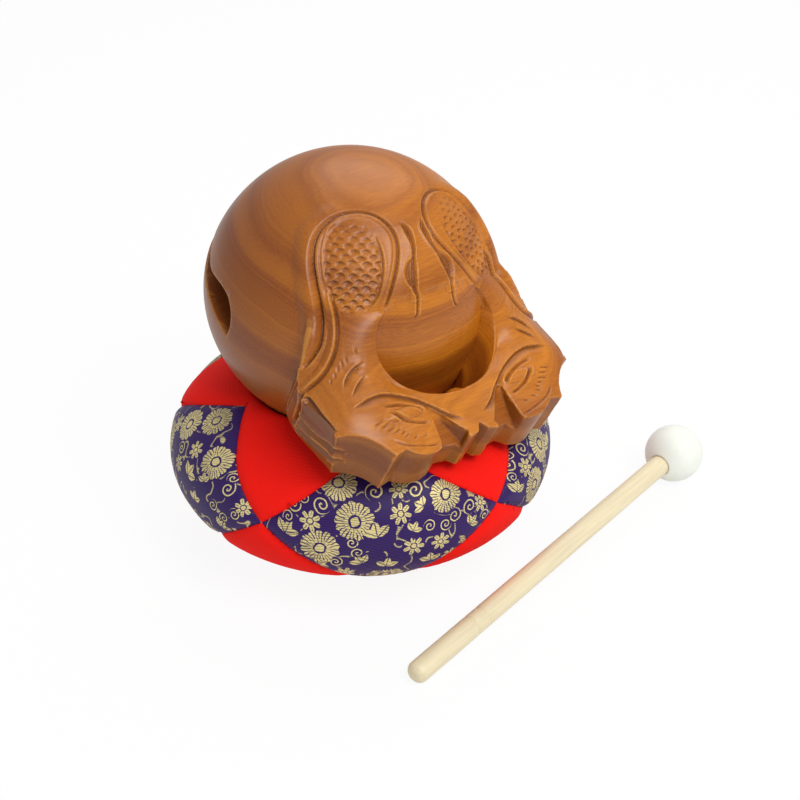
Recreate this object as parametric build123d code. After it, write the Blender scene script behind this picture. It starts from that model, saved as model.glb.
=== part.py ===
from build123d import *
import math
import os

# Mokugyo wooden fish: a hollow carved slit drum with a twin-headed handle,
# its round patchwork cushion and its rubber-headed mallet.
# Millimetres, +Z up. The origin is the centre of the cushion's base on the floor,
# and the drum's handle points towards -Y.

# Cushion
cushion_radius = 82.5          # half of the cushion's width
cushion_middle = 39.5          # height of its widest line above the floor
cushion_half_height = 41.4     # from the widest line to the crown, before the drum dents it
cushion_rim_round = 26.0       # radius of the rim's round side
cover_thickness = 3.0          # quilted cloth of every panel
seam_roll = 1.6                # rounding of a panel's edge, drawn in at its seam
filling_gap = 0.3              # between the cover and the filling
panel_count = 5                # panels in each of the three rings
seam_turn = 8.0                # degrees from -Y to the first point where four panels meet
seam_origin_height = 24.0      # on the axis: every seam lies in a plane through this point
meeting_height = 45.3          # height of the points where four panels meet
upper_tip_inset = 29.9         # from the widest line in to a brocade panel's upper tip, in plan
lower_tip_inset = 22.5         # from the widest line in to a brocade panel's lower tip, in plan

# Drum bulb, in its own frame: lower lip of the slit near XY, handle towards -Y
bulb_width = 123.4             # across the flanks
bulb_low_height = 52.0         # from the widest line to the underside
bulb_low_round = 45.0          # radius of the lower flanks
bulb_wall = 10.0               # wall round the sounding chamber
slit_height = 7.5              # gap between the two jaws
slit_drop = 0.5                # lower lip below the widest line
mouth_front = -2.5             # front end of the side mouths, along Y
mouth_peak = 6.0               # highest point of a side mouth, along Y
mouth_back = 27.0              # where a side mouth runs into the slit, along Y
mouth_height = 14.0            # height of a side mouth above the lower lip

# Handle: two necks that leave the bulb and end in two heads, nose to nose.
# Each section has its place along -Y, its crown as half-widths and heights,
# the foot of its flank, and the height of the underside's arch on the middle plane.
handle_sections = [
    (18.0, [(0, 38), (20, 38), (32, 36), (42.5, 35)], (42, -12), -8),
    (30.0, [(0, 42), (22, 42), (37, 36.5), (47.5, 31.8)], (47, -13), -7),
    (38.0, [(0, 44), (22, 43), (41.5, 34), (53.5, 24.3)], (50, -12), -5),
    (47.0, [(0, 35), (28, 36), (47, 27.5), (58.5, 18)], (53, -9), -3),
    (60.0, [(0, 28), (28, 29), (46, 27.5), (58, 20)], (53, -6), 1),
    (74.0, [(0, 25), (28, 26.5), (46, 26), (57, 21.5)], (53, -2), 3),
    (84.0, [(0, 23.8), (28, 24.8), (45, 24.3), (54.5, 21.2)], (52.5, 0), 3.2),
    (94.0, [(0, 22.5), (28, 23), (44, 22.5), (52, 21)], (52, 2), 3.5),
]
head_brow = (57.0, -72.0)      # outer corner of a head, in plan
head_scallop = (46.5, -79.0)   # deepest point of the hollow behind the corner
head_corner = (41.0, -88.5)    # the corner's small flat
head_corner_flat = (35.5, -87.2)
head_front = (27.0, -91.5)     # middle of the rounded jaw
cheek_end = (20.0, -90.5)      # where the jaw turns in to the mouth
mouth_corner = (16.5, -87.0)
lip_outer = (9.0, -88.0)       # snout, in plan
lip_corner = (6.5, -91.0)
nose_tip = (2.5, -90.0)
nose_parting = -86.0           # where the two noses touch, along Y
valley_root = (17.5, -74.0)    # inner end of the valley between cheek and lip
valley_slope = 0.7             # fall of that valley's floor towards the front
valley_top = 25.0              # height of its inner end
hole_half_width = 29.0         # finger hole between necks, heads and bulb
hole_half_length = 20.0
hole_middle = -51.0            # along Y
front_recess = 3.6             # how far the bulb's front is cut back in the finger hole
front_recess_rise = 2.6        # upward shift of that cut, so that it fades out above
bead_radius = 6.5              # bead held between the two noses
bead_place = (0.0, -73.5, 18.5)

# Lines carved into the dome on one side, in the drum's frame; the other side mirrors them
oval_line = [
    (-19.6, -35.3, 46.6), (-17, -32.2, 49.7), (-13.4, -27.1, 53.7), (-10.5, -21.4, 56.9), (-9.5, -15.6, 58.8),
    (-11, -9.8, 59.8), (-14.2, -5.1, 59.8), (-19.1, -1.6, 58.5), (-25.1, 0.1, 56.2), (-31.3, -1, 53.1),
    (-35.9, -4.6, 49.8), (-39.2, -10.7, 46.2), (-40.9, -18.1, 42.3), (-41.6, -24.6, 38.2),
]
wave_line = [
    (-5.2, -12, 60.2), (-3.9, -16, 59.3), (-3.8, -20, 58.1), (-4.4, -23.5, 56.8), (-6.2, -27.5, 54.8),
    (-8, -32, 52), (-8.6, -35, 49.8),
]
oval_gouge = 1.9               # radius of the gouge that cuts the ovals
wave_gouge = 1.3               # radius of the gouge that cuts the waves between them
gouge_depth = 1.2              # how deep both gouges go

# Place of the drum on the cushion
drum_middle = (3.0, 10.0, 104.0)
drum_tilt = 27.0               # degrees, handle down and slit up
drum_lean = 3.0                # degrees towards +X
seat_gap = 0.3                 # between the drum and the dented cover

# Mallet lying on the floor
ball_diameter = 26.2
stick_diameter = 9.2
stick_reach = 185.4            # from the ball's centre to the stick's free end
stick_end_round = 3.4          # rounding of the free end
socket_depth = 15.0            # the stick's seat in the ball
socket_gap = 0.05              # glue line round the stick
ring_from_end = (36.0, 43.0)   # turned rings on the grip
ring_depth = 0.45
ring_width = 1.4
ball_place = (130.4, -64.5)    # on the floor
mallet_turn = 12.9             # degrees from +X to the stick, seen from above

bulb_radius = bulb_width / 2
reach = bulb_width             # longer than any cut through the drum


def cap_shape(radius, rim, depth):
    """Flat cap that continues a round rim: its centre below the widest line, radius and half-angle."""
    rest = depth - rim
    centre = ((radius - rim) ** 2 - rest ** 2) / (2 * rest)
    return centre, depth + centre, math.atan2(radius - rim, centre)


def flattened_arcs(radius, rim, depth, side):
    """Two arcs from the widest point to the axis, above (side 1) or below (side -1)."""
    centre, cap, lean = cap_shape(radius, rim, depth)
    turn = (lean + math.pi / 2) / 2
    rim_middle = (radius - rim + rim * math.sin(turn), side * rim * math.cos(turn))
    join = (cap * math.sin(lean), side * (cap * math.cos(lean) - centre))
    cap_middle = (cap * math.sin(lean / 2), side * (cap * math.cos(lean / 2) - centre))
    return [
        ThreePointArc((radius, 0), rim_middle, join),
        ThreePointArc(join, cap_middle, (0, side * depth)),
    ]


def turned(arcs, top, bottom):
    """Solid of revolution about Z from the arcs of its right half."""
    half = make_face(arcs + [Line((0, bottom), (0, top))])
    return revolve(Plane.XZ * half, Axis.Z)


def bulb(grow=0.0):
    """Outside of the bulb, grown or shrunk by an even amount: a dome over a flatter belly."""
    radius = bulb_radius + grow
    low = bulb_low_height + grow
    slant = radius * math.sqrt(0.5)
    dome = ThreePointArc((0, radius), (slant, slant), (radius, 0))
    belly = flattened_arcs(radius, bulb_low_round + grow, low, -1)
    return turned([dome] + belly, radius, -low)


def handle_section(forward, crown, foot, arch):
    """One cross-section of the handle: a crowned top over straight flanks and an arched underside."""
    shoulder = crown[-1]
    far_side = [(-x, z) for x, z in reversed(crown) if x > 0]
    edges = [
        Spline(far_side + crown),
        Line(shoulder, foot),
        ThreePointArc(foot, (0, arch), (-foot[0], foot[1])),
        Line((-foot[0], foot[1]), (-shoulder[0], shoulder[1])),
    ]
    place = Plane(origin=(0, -forward, 0), x_dir=(1, 0, 0), z_dir=(0, -1, 0))
    return place * make_face(edges)


def head_outline():
    """Plan of one head and neck, from the flank round the front to the nose."""
    wide = handle_sections[-1][0]
    edges = [
        Polyline((0, 0), (wide, 0), (wide, head_brow[1] + 6), head_brow),
        ThreePointArc(head_brow, head_scallop, head_corner),
        Line(head_corner, head_corner_flat),
        ThreePointArc(head_corner_flat, head_front, cheek_end),
        Polyline(cheek_end, mouth_corner, lip_outer, lip_corner, nose_tip, (0, nose_parting), (0, 0)),
    ]
    return make_face(edges)


def mouth_valley():
    """Wedge cut between a cheek and its lip, deepest at the front."""
    front = -handle_sections[-1][0]
    plan = Polyline(
        valley_root, (lip_corner[0], lip_outer[1]), (lip_outer[0], front),
        (cheek_end[0] + 2, front), (cheek_end[0] - 0.5, cheek_end[1] + 2), valley_root)
    prism = extrude(make_face(plan), amount=reach)
    floor = Plane(origin=(*valley_root, valley_top), x_dir=(1, 0, 0), z_dir=(0, -valley_slope, 1))
    return split(prism, bisect_by=floor, keep=Keep.TOP)


def finger_hole():
    return Pos(0, hole_middle) * extrude(Ellipse(hole_half_width, hole_half_length), amount=reach, both=True)


def handle():
    """Necks, heads and the bead between their noses, without the bulb behind them."""
    half = extrude(head_outline(), amount=reach, both=True) - mouth_valley()
    outline = half + mirror(half, about=Plane.YZ)
    block = loft([handle_section(*section) for section in handle_sections])
    return (block & outline) - finger_hole() + Pos(bead_place) * Sphere(bead_radius)


def side_mouths():
    """Arched holes through both flanks, at the two ends of the slit."""
    lip = -slit_drop
    peak = lip + mouth_height
    slit_top = lip + slit_height
    shoulder = (mouth_front + 2, lip + 0.72 * mouth_height)
    edges = [
        ThreePointArc((mouth_front, lip), shoulder, (mouth_peak, peak)),
        Spline([(mouth_peak, peak), (mouth_back, slit_top)], tangents=[(1, 0), (1, -0.15)]),
        Polyline((mouth_back, slit_top), (mouth_back, lip), (mouth_front, lip)),
    ]
    return extrude(Plane.YZ * make_face(edges), amount=reach, both=True)


def slit():
    """Saw cut round the back, from one side mouth to the other."""
    sweep_box = Box(2 * reach, reach, slit_height, align=(Align.CENTER, Align.MIN, Align.MIN))
    return Pos(0, mouth_peak, -slit_drop) * sweep_box


def gouge_cut(line, radius):
    """Round gouge that follows a smooth line over the dome, with ball-shaped ends."""
    centre_line = bulb_radius + radius - gouge_depth
    path = Spline([Vector(place).normalized() * centre_line for place in line])
    tube = sweep(Plane(origin=path @ 0, z_dir=path % 0) * Circle(radius), path=path)
    return tube + Pos(path @ 0) * Sphere(radius) + Pos(path @ 1) * Sphere(radius)


def drum():
    """Bulb and handle carved from one block and hollowed through the slit."""
    cut_back = finger_hole() - Pos(0, front_recess, front_recess_rise) * bulb()
    block = bulb() - cut_back + handle()
    hollow = block - bulb(-bulb_wall) - slit() - side_mouths()
    for line, radius in ((oval_line, oval_gouge), (wave_line, wave_gouge)):
        cut = gouge_cut(line, radius)
        hollow = hollow - cut - mirror(cut, about=Plane.YZ)
    return hollow


drum_seat = Pos(drum_middle) * Rot(0, drum_lean, 0) * Rot(drum_tilt, 0, 0)


def cushion_form(inset=0.0):
    """The stuffed cushion before the drum dents it, flat where it stands."""
    radius = cushion_radius - inset
    rim = cushion_rim_round - inset
    height = cushion_half_height - inset
    arcs = flattened_arcs(radius, rim, height, 1) + flattened_arcs(radius, rim, height, -1)
    ball = Pos(0, 0, cushion_middle) * Rot(0, 0, seam_turn - 90) * turned(arcs, height, -height)
    return split(ball, bisect_by=Plane.XY, keep=Keep.TOP)


def seam_point(radius, side, turn):
    """Point of the cushion's surface, seen from the point that all seam planes share."""
    centre, cap, lean = cap_shape(cushion_radius, cushion_rim_round, cushion_half_height)
    lift = math.sqrt(cap ** 2 - radius ** 2) - centre
    if radius > cap * math.sin(lean):
        lift = math.sqrt(cushion_rim_round ** 2 - (radius - cushion_radius + cushion_rim_round) ** 2)
    angle = math.radians(turn)
    height = cushion_middle + side * lift - seam_origin_height
    return Vector(radius * math.sin(angle), -radius * math.cos(angle), height)


meeting_lift = meeting_height - cushion_middle
meeting_radius = cushion_radius - cushion_rim_round + math.sqrt(cushion_rim_round ** 2 - meeting_lift ** 2)
panel_step = 360 / panel_count
seam_origin = Vector(0, 0, seam_origin_height)
pole = Vector(0, 0, 1)


def meeting(index):
    return seam_point(meeting_radius, 1, seam_turn + panel_step * index)


def upper_tip(index):
    return seam_point(cushion_radius - upper_tip_inset, 1, seam_turn + panel_step * (index + 0.5))


def lower_tip(index):
    return seam_point(cushion_radius - lower_tip_inset, -1, seam_turn + panel_step * (index + 0.5))


def brocade_corners(index):
    return [meeting(index), lower_tip(index), meeting(index + 1), upper_tip(index)]


def upper_red_corners(index):
    return [upper_tip(index - 1), meeting(index), upper_tip(index), pole]


def lower_red_corners(index):
    return [lower_tip(index), meeting(index), lower_tip(index - 1), -pole]


def seam_plane(start, end):
    return Plane(origin=seam_origin, z_dir=start.cross(end))


def patch(skin, corners):
    """The part of a skin inside the seams that run from corner to corner."""
    piece = skin
    for start, end in zip(corners, corners[1:] + corners[:1]):
        piece = split(piece, bisect_by=seam_plane(start, end), keep=Keep.TOP)
    return piece


cushion = cushion_form()
cover = cushion - cushion_form(cover_thickness)
cushion_surface = cushion.shells()[0]


def rolled_panel(corners, seam_count):
    """Panel of the undented cover whose first seams are drawn in with a rolled edge."""
    panel = patch(cover, corners)
    ring = corners + corners[:1]
    edges = []
    for start, end in zip(ring[:seam_count], ring[1:]):
        plane = seam_plane(start, end)
        for edge in panel.edges():
            middle = edge.position_at(0.5)
            on_seam = abs(plane.to_local_coords(middle).Z) < 0.01
            if on_seam and cushion_surface.distance_to(middle) < 0.02:
                edges.append(edge)
    return fillet(edges, seam_roll)


dent = drum_seat * bulb(seat_gap)
dent_lining = (drum_seat * bulb(seat_gap + cover_thickness) & cushion) - dent


def dented(panel, corners):
    """The panel pressed in by the drum: cut back to the dent and carried on down its wall."""
    lining = patch(dent_lining, corners)
    pressed = panel - dent
    return pressed + lining if lining.solids() else pressed


def stick():
    """Turned stick along X, with the ball's centre at the origin."""
    radius = stick_diameter / 2
    seat = ball_diameter / 2 - socket_depth
    outline = [(seat, 0), (seat, radius)]
    for distance in sorted(ring_from_end, reverse=True):
        ring = stick_reach - distance
        outline += [(ring - ring_width / 2, radius), (ring, radius - ring_depth), (ring + ring_width / 2, radius)]
    round_start = stick_reach - stick_end_round
    outline += [(round_start, radius)]
    end = EllipticalCenterArc(
        (round_start, radius - stick_end_round), stick_end_round, stick_end_round, start_angle=0, arc_size=90)
    back = Polyline((stick_reach, radius - stick_end_round), (stick_reach, 0), (seat, 0))
    return revolve(make_face([Polyline(outline), end, back]), Axis.X)


def ball():
    """Rubber ball with a blind socket for the stick."""
    socket = Plane.YZ.offset(ball_diameter / 2 - socket_depth - socket_gap) * Circle(stick_diameter / 2 + socket_gap)
    return Sphere(ball_diameter / 2) - extrude(socket, amount=2 * socket_depth)


floor_slope = math.asin((ball_diameter - stick_diameter) / 2 / (stick_reach - stick_end_round))
mallet_place = (
    Pos(*ball_place, ball_diameter / 2)
    * Rot(0, 0, 180 + mallet_turn)
    * Rot(0, math.degrees(floor_slope), 0)
)

brocade = rolled_panel(brocade_corners(0), 4)
upper_red = rolled_panel(upper_red_corners(0), 2)
lower_red = rolled_panel(lower_red_corners(0), 2)
filling_inset = cover_thickness + filling_gap

pieces = {
    "bell_body": drum_seat * drum(),
    "cushion_filling": cushion_form(filling_inset) - drum_seat * bulb(seat_gap + filling_inset),
    "mallet_stick": mallet_place * stick(),
    "mallet_head": mallet_place * ball(),
}
for index in range(panel_count):
    turn = Rot(0, 0, panel_step * index)
    pieces[f"brocade_panel_{index + 1}"] = dented(turn * brocade, brocade_corners(index))
    pieces[f"upper_red_panel_{index + 1}"] = dented(turn * upper_red, upper_red_corners(index))
    pieces[f"lower_red_panel_{index + 1}"] = turn * lower_red

os.makedirs("parts", exist_ok=True)
for name, piece in pieces.items():
    export_step(piece, f"parts/{name}.step")
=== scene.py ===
import math

import bmesh
import bpy
import numpy as np
from bpy.props import FloatProperty, FloatVectorProperty, PointerProperty
from mathutils import Euler, Matrix, Vector


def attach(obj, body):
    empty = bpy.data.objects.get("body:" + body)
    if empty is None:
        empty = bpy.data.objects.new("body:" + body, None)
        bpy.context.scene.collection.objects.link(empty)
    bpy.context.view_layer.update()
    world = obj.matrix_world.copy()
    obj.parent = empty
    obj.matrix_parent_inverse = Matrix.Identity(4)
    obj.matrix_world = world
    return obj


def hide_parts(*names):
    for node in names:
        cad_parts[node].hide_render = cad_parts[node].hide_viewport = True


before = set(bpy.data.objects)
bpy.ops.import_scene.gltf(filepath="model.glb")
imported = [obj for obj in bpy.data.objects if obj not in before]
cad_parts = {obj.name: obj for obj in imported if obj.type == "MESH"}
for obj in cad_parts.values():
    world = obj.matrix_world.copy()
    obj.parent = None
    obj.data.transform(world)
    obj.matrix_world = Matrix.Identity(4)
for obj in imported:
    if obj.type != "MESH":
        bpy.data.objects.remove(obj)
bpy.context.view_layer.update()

bl_info = {
    "name": "Mokugyo wooden fish",
    "version": (1, 0, 0),
    "blender": (4, 5, 0),
    "location": "3D View > Sidebar > Mokugyo",
    "description": "Carved slit drum on a patchwork cushion, with its mallet",
    "category": "Add Mesh",
}

MM = 0.001

# The drum's own frame in millimetres: slit level, handle towards -Y
DRUM_MIDDLE = np.array((3.0, 10.0, 104.0))
DRUM_TURN = np.array(Matrix.Rotation(math.radians(3), 3, "Y") @ Matrix.Rotation(math.radians(27), 3, "X"))
BULB_RADIUS = 61.7

# The cushion in millimetres: a round rim between two flatter caps
CUSHION_RADIUS = 82.5
CUSHION_MIDDLE = 39.5
CUSHION_HALF = 41.4
CUSHION_RIM = 26.0
CUSHION_INSET = CUSHION_RADIUS - CUSHION_RIM
CAP_REST = CUSHION_HALF - CUSHION_RIM
CAP_CENTRE = (CUSHION_INSET ** 2 - CAP_REST ** 2) / (2 * CAP_REST)
CAP_RADIUS = CUSHION_HALF + CAP_CENTRE
CAP_LEAN = math.atan2(CUSHION_INSET, CAP_CENTRE)

# Its panels: where four of them meet, the brocade's tips above and below, and a point on all seam planes
PANEL_COUNT = 5
SEAM_TURN = 8.0
MEETING_HEIGHT = 45.3
MEETING_RADIUS = CUSHION_INSET + math.sqrt(CUSHION_RIM ** 2 - (MEETING_HEIGHT - CUSHION_MIDDLE) ** 2)
TIP_RADIUS = {1: 52.6, -1: 60.0}
SEAM_ORIGIN = {1: np.array((0.0, 0.0, 46.0)), -1: np.array((0.0, 0.0, 24.0))}

# Room between the cloth and the drum, and under the cloth
DRUM_GAP = 0.5
FLOOR_GAP = 0.4

# The mallet in millimetres and degrees
BALL_PLACE = (130.4, -64.5)
MALLET_TURN = 192.9
STICK_END_ROUND = 3.4
SOCKET_DEPTH = 15.0
SOCKET_SLACK = 0.05
# One turned ring of the stick: places along it and how deep the cut is there
RING = ((-0.95, 0), (-0.6, 0.08), (-0.3, 0.36), (0, 0.45), (0.3, 0.36), (0.6, 0.08), (0.95, 0))


def linear(hex_colour):
    """Linear colour of an sRGB hex value."""
    parts = [int(hex_colour[i:i + 2], 16) / 255 for i in (1, 3, 5)]
    return [c / 12.92 if c <= 0.04045 else ((c + 0.055) / 1.055) ** 2.4 for c in parts]


def plug(tree, node, inputs):
    """Set or link the sockets of a node."""
    for key, value in inputs.items():
        if isinstance(value, bpy.types.NodeSocket):
            tree.links.new(value, node.inputs[key])
        else:
            node.inputs[key].default_value = value


def add(tree, kind, inputs=None, **settings):
    """A node with its settings, and its sockets set or linked."""
    made = tree.nodes.new(kind)
    for name, value in settings.items():
        setattr(made, name, value)
    plug(tree, made, inputs or {})
    return made


def new_material(name):
    """Empty material with its shader and output joined."""
    material = bpy.data.materials.new(name)
    material.use_nodes = True
    tree = material.node_tree
    tree.nodes.clear()
    shader = add(tree, "ShaderNodeBsdfPrincipled")
    add(tree, "ShaderNodeOutputMaterial", {"Surface": shader.outputs[0]})
    return material, tree, shader


def colours(tree, factor, *stops):
    """Colour ramp from stops of position and linear colour."""
    ramp = add(tree, "ShaderNodeValToRGB", {"Fac": factor})
    elements = ramp.color_ramp.elements
    while len(elements) < len(stops):
        elements.new(0.5)
    for element, (position, colour) in zip(elements, stops):
        element.position = position
        element.color = (*colour, 1.0)
    return ramp.outputs["Color"]


def tinted(colour, share=1.0):
    """A colour setting, or a darker share of it, as a socket takes it."""
    return (*[share * c for c in colour], 1.0)


def colour_setting(name, description, hex_colour):
    return FloatVectorProperty(
        name=name, description=description, size=3, subtype="COLOR", default=linear(hex_colour))


def length_setting(name, description, millimetres):
    return FloatProperty(name=name, description=description, default=millimetres * MM, unit="LENGTH")


class DrumSettings(bpy.types.PropertyGroup):
    """Finish of the carved drum."""

    groove_depth: FloatProperty(
        name="Groove depth", description="Scale of all carved grooves", default=1.0, min=0.0, subtype="FACTOR")
    wood_light: colour_setting("Light wood", "Early wood between the growth rings", "#CB7A1A")
    wood_dark: colour_setting("Dark wood", "Late wood of the growth rings", "#7E390E")
    # Painted shade: colour the wood darkens to towards the lower left of the block
    flank_shade_colour: colour_setting("Flank shade", "Darker wood towards the left of the block", "#6A3420")
    # Painted highlight with wear: paler colour laid on convex edges
    edge_highlight_and_wear_colour: colour_setting("Edge highlight and wear", "Paler wood on convex edges: painted highlight and rubbed wear", "#E2A04C")
    # Painted shade: colour laid in grooves, concave creases and notch hollows
    groove_shade_colour: colour_setting("Groove shade", "Painted shade in grooves, creases and notches", "#4E2307")


class CushionSettings(bpy.types.PropertyGroup):
    """Sizes and colours of the patchwork cushion."""

    cloth_thickness: length_setting("Cloth", "Thickness of the quilted cover", 2.4)
    seam_depth: length_setting("Seam depth", "How far the seams are drawn in", 1.5)
    red: colour_setting("Red cloth", "Colour of the plain panels", "#F7170C")
    purple: colour_setting("Brocade ground", "Ground of the brocade", "#351A63")
    gold: colour_setting("Brocade gold", "Gilt weft of the brocade flowers", "#E6D597")


class MalletSettings(bpy.types.PropertyGroup):
    """Sizes and colours of the mallet."""

    ball_diameter: length_setting("Ball", "Diameter of the rubber ball", 26.2)
    stick_diameter: length_setting("Stick", "Diameter of the stick", 9.2)
    stick_reach: length_setting("Reach", "From the ball's centre to the stick's end", 185.4)
    stick_colour: colour_setting("Stick wood", "Pale wood of the stick", "#EBDDB8")
    ball_colour: colour_setting("Ball rubber", "Rubber of the ball", "#F0F3EA")


class StageSettings(bpy.types.PropertyGroup):
    """Light and camera."""

    lens: FloatProperty(name="Lens", description="Focal length on a 36 mm frame", default=66.48)
    floor_colour: FloatVectorProperty(
        name="Floor", description="Colour of the studio floor", size=3, subtype="COLOR",
        default=(0.9, 0.9, 0.9))


def positions(mesh):
    """Vertex places of a mesh, in millimetres."""
    places = np.empty(len(mesh.vertices) * 3)
    mesh.vertices.foreach_get("co", places)
    return places.reshape(-1, 3) / MM


def set_positions(mesh, places):
    mesh.vertices.foreach_set("co", (places * MM).ravel())
    mesh.update()


def normals(mesh):
    out = np.empty(len(mesh.vertices) * 3)
    mesh.vertex_normals.foreach_get("vector", out)
    return out.reshape(-1, 3)


def edge_pairs(mesh):
    pairs = np.empty(len(mesh.edges) * 2, dtype=np.int64)
    mesh.edges.foreach_get("vertices", pairs)
    return pairs.reshape(-1, 2)


def relax(values, pairs, rounds, weight):
    """Laplacian smoothing of per-vertex rows, each vertex moved by its own weight."""
    count = np.bincount(pairs.ravel(), minlength=len(values))[:, None]
    for _ in range(rounds):
        total = np.zeros_like(values)
        for axis in range(values.shape[1]):
            total[:, axis] = (
                np.bincount(pairs[:, 0], values[pairs[:, 1], axis], len(values))
                + np.bincount(pairs[:, 1], values[pairs[:, 0], axis], len(values)))
        values = values + weight[:, None] * (total / np.maximum(count, 1) - values)
    return values


def share(values):
    """Values held between nought and one."""
    return np.clip(values, 0, 1)


def hump(values, middle, width):
    """Bell-shaped curve of height one."""
    return np.exp(-((values - middle) / width) ** 2)


def keep_attribute(mesh, name, values):
    """Store one number per vertex for a material."""
    attribute = mesh.attributes.new(name, "FLOAT", "POINT")
    attribute.data.foreach_set("value", values.astype(np.float32))


def evaluated(piece):
    """Mesh of a piece with its modifiers worked in."""
    bpy.context.view_layer.update()
    return bpy.data.meshes.new_from_object(piece.evaluated_get(bpy.context.evaluated_depsgraph_get()))


def place_piece(name, mesh, material, body, slot, *nodes):
    """A finished piece: shaded smooth, riding its body and standing for its nodes."""
    mesh.name = name
    mesh.materials.clear()
    mesh.materials.append(material)
    mesh.polygons.foreach_set("use_smooth", [True] * len(mesh.polygons))
    piece = bpy.data.objects.new(name, mesh)
    bpy.context.scene.collection.objects.link(piece)
    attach(piece, body)
    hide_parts(*nodes)
    return piece


def to_drum(places):
    return (places - DRUM_MIDDLE) @ DRUM_TURN


def from_drum(places):
    return places @ DRUM_TURN.T + DRUM_MIDDLE


def bulb_distance(places):
    """Distance outside the drum's bulb and its direction, for places in the drum's frame."""
    across = np.hypot(places[:, 0], places[:, 1])
    up = places[:, 2]
    rim, low = 45.0, 52.0
    inset = BULB_RADIUS - rim
    rest = low - rim
    middle = (inset ** 2 - rest ** 2) / (2 * rest)
    lean = math.atan2(inset, middle)
    below = up < 0
    flat = below & (np.arctan2(across, middle - up) < lean)
    centre_r = np.where(below & ~flat, inset, 0.0)
    centre_z = np.where(flat, middle, 0.0)
    radius = np.where(flat, middle + low, np.where(below, rim, BULB_RADIUS))
    dr = across - centre_r
    dz = up - centre_z
    length = np.maximum(np.hypot(dr, dz), 1e-9)
    safe = np.maximum(across, 1e-9)
    way = np.stack([dr / length * places[:, 0] / safe, dr / length * places[:, 1] / safe, dz / length], axis=1)
    return length - radius, way


# Carved lines of one side in the drum's frame, millimetres; the other side mirrors them
OVAL_RIDGE = [
    (-21.8, 1.1, 57.6), (-29.1, 2.5, 54.3), (-34.3, 1.2, 51.1), (-37.6, -1.9, 48.6), (-40.5, -8.5, 44.2),
    (-43.4, -17.7, 39.1), (-45.2, -24.4, 35.6), (-47.5, -30.4, 31.7), (-51, -35.7, 27.1), (-54.9, -39.4, 22.7),
    (-58, -41.1, 19.3), (-59.5, -42.5, 17.3)]
OVAL_GROOVE = [
    (-22.8, -38.3, 42.7), (-20.2, -36, 45.7), (-17, -32.2, 49.7), (-13.4, -27.1, 53.7), (-10.5, -21.4, 56.9),
    (-9.5, -15.6, 58.8), (-11, -9.8, 59.8), (-14.2, -5.1, 59.8), (-19.1, -1.6, 58.5), (-25.1, 0.1, 56.2),
    (-31.3, -1, 53.1), (-35.9, -4.6, 49.8), (-39.2, -10.7, 46.2), (-40.9, -18.1, 42.3), (-41.6, -24.6, 38.2),
    (-43, -31, 33.7), (-46.3, -36.6, 30.8), (-49.9, -39.4, 27), (-54.4, -40.9, 22.6)]
PAD_EDGE = [
    (-28.6, -35.5, 41.5), (-24.9, -34.6, 44.5), (-22.3, -32.6, 47.2), (-20, -29.3, 50.3), (-18.1, -25.2, 53.3),
    (-16.8, -20, 55.6), (-16.6, -14, 57.6), (-18, -8, 58.2), (-21, -4.2, 57.6), (-25.2, -2.4, 56.1),
    (-29.3, -2.6, 54.1), (-32.8, -5.2, 51.8), (-35.8, -9.3, 49.3), (-37.8, -15.2, 46.1), (-38.9, -21.2, 42.8),
    (-38.6, -27, 39.9), (-37.2, -32.5, 38)]
NECK_RIDGE = [
    (-38.8, -22.3, 42.3), (-39.1, -27.2, 39.8), (-40, -32.3, 37.2), (-41.3, -37.1, 34.3), (-43.6, -41.2, 31),
    (-47.2, -44.7, 27.5), (-51.5, -46.9, 23.9), (-56.3, -47.4, 19.7), (-57.7, -46.8, 18.2)]
WAVY_GOUGE = [
    (-5.2, -12, 60.2), (-3.9, -16, 59.3), (-3.8, -20, 58.1), (-4.4, -23.5, 56.8), (-6.2, -27.5, 54.8),
    (-8, -32, 52), (-8.8, -36, 48.8), (-8.3, -38.5, 46.8), (-9, -42.5, 42.2), (-10.8, -44.1, 40.1)]
EYE_UPPER = [
    (-36.2, -69.1, 27.1), (-32.4, -69.5, 27.4), (-27.4, -70.7, 27), (-22.8, -72.8, 26.3), (-20.3, -75.2, 25.8)]
EYE_LOWER = [
    (-34, -71.7, 26.8), (-32.3, -74.4, 26.5), (-29.2, -77.1, 26.1), (-24.5, -79, 25.4), (-20.3, -80, 25)]
# Grooves with their width, depth and how far their ends fade
GROOVES = [
    (WAVY_GOUGE, (0.6, 1.8, 1.0, 0.7, 1.6, 1.5, 0.8, 0.7, 0.5), 1.7, 3),
    ([(-5.4, -26.2, 55.6), (-8.6, -28.8, 53.8), (-10.0, -31.4, 51.9), (-9.9, -34, 50.2), (-8.8, -36.4, 48.9)],
     (0.6, 1.5, 1.8, 1.3, 0.5), 1.3, 2),
    (EYE_UPPER, 0.9, 1.0, 2),
    (EYE_LOWER, 0.9, 0.9, 2),
    ([(-39.3, -81.9, 25), (-37, -84.1, 25), (-34, -86.1, 24.9), (-27.5, -88.1, 24.1), (-20.1, -89.6, 23.4)],
     0.7, 0.6, 3),
    ([(-57.2, -43.5, 19.5), (-51.8, -39, 2.4), (-50.1, -38.2, -11)], 1.6, 1.9, 3),
    ([(-56.9, -47.9, 19.3), (-57.7, -49.6, 12.8), (-53.9, -47.2, -4.5)], 1.4, 1.8, 3),
]
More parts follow.
